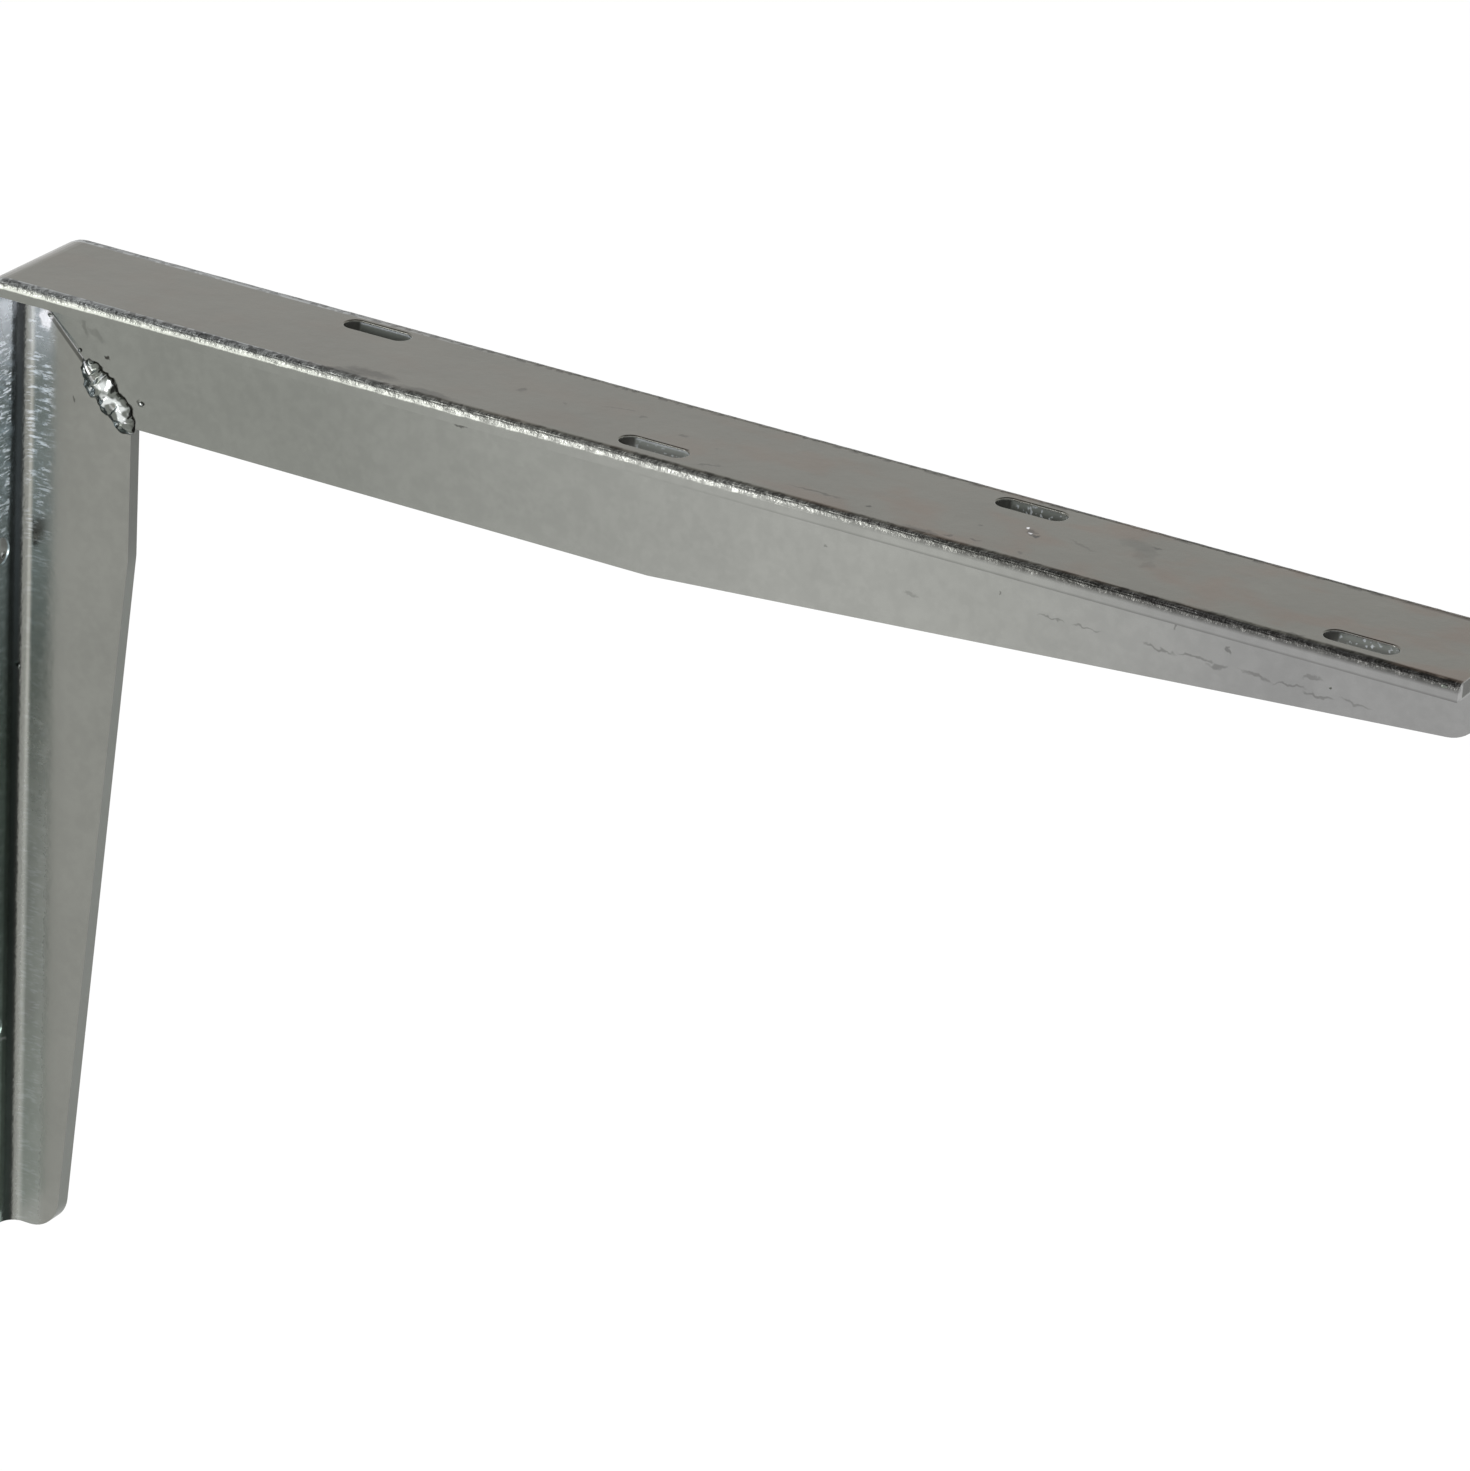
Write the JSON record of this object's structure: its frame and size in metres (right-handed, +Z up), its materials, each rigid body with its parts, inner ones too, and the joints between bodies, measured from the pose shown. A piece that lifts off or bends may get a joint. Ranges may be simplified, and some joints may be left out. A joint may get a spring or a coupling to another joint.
{
  "type": "shelf bracket",
  "caption": "Galvanised steel shelf bracket folded from a T bar, with a welded corner, slots in the shelf arm and holes in the wall leg.",
  "frame": {"origin": "on the wall face, on the bar's centre plane, level with the middle wall hole", "axes": "+X out from the wall along the shelf arm, +Y across the bar, +Z up"},
  "size_m": [0.45, 0.0406, 0.3],
  "materials": {
    "galvanised_steel": "hot-dip zinc coat, grey with a soft sheen, bright along the edges"
  },
  "bodies": {
    "root": {"bracket": "galvanised_steel"}
  },
  "joints": []
}
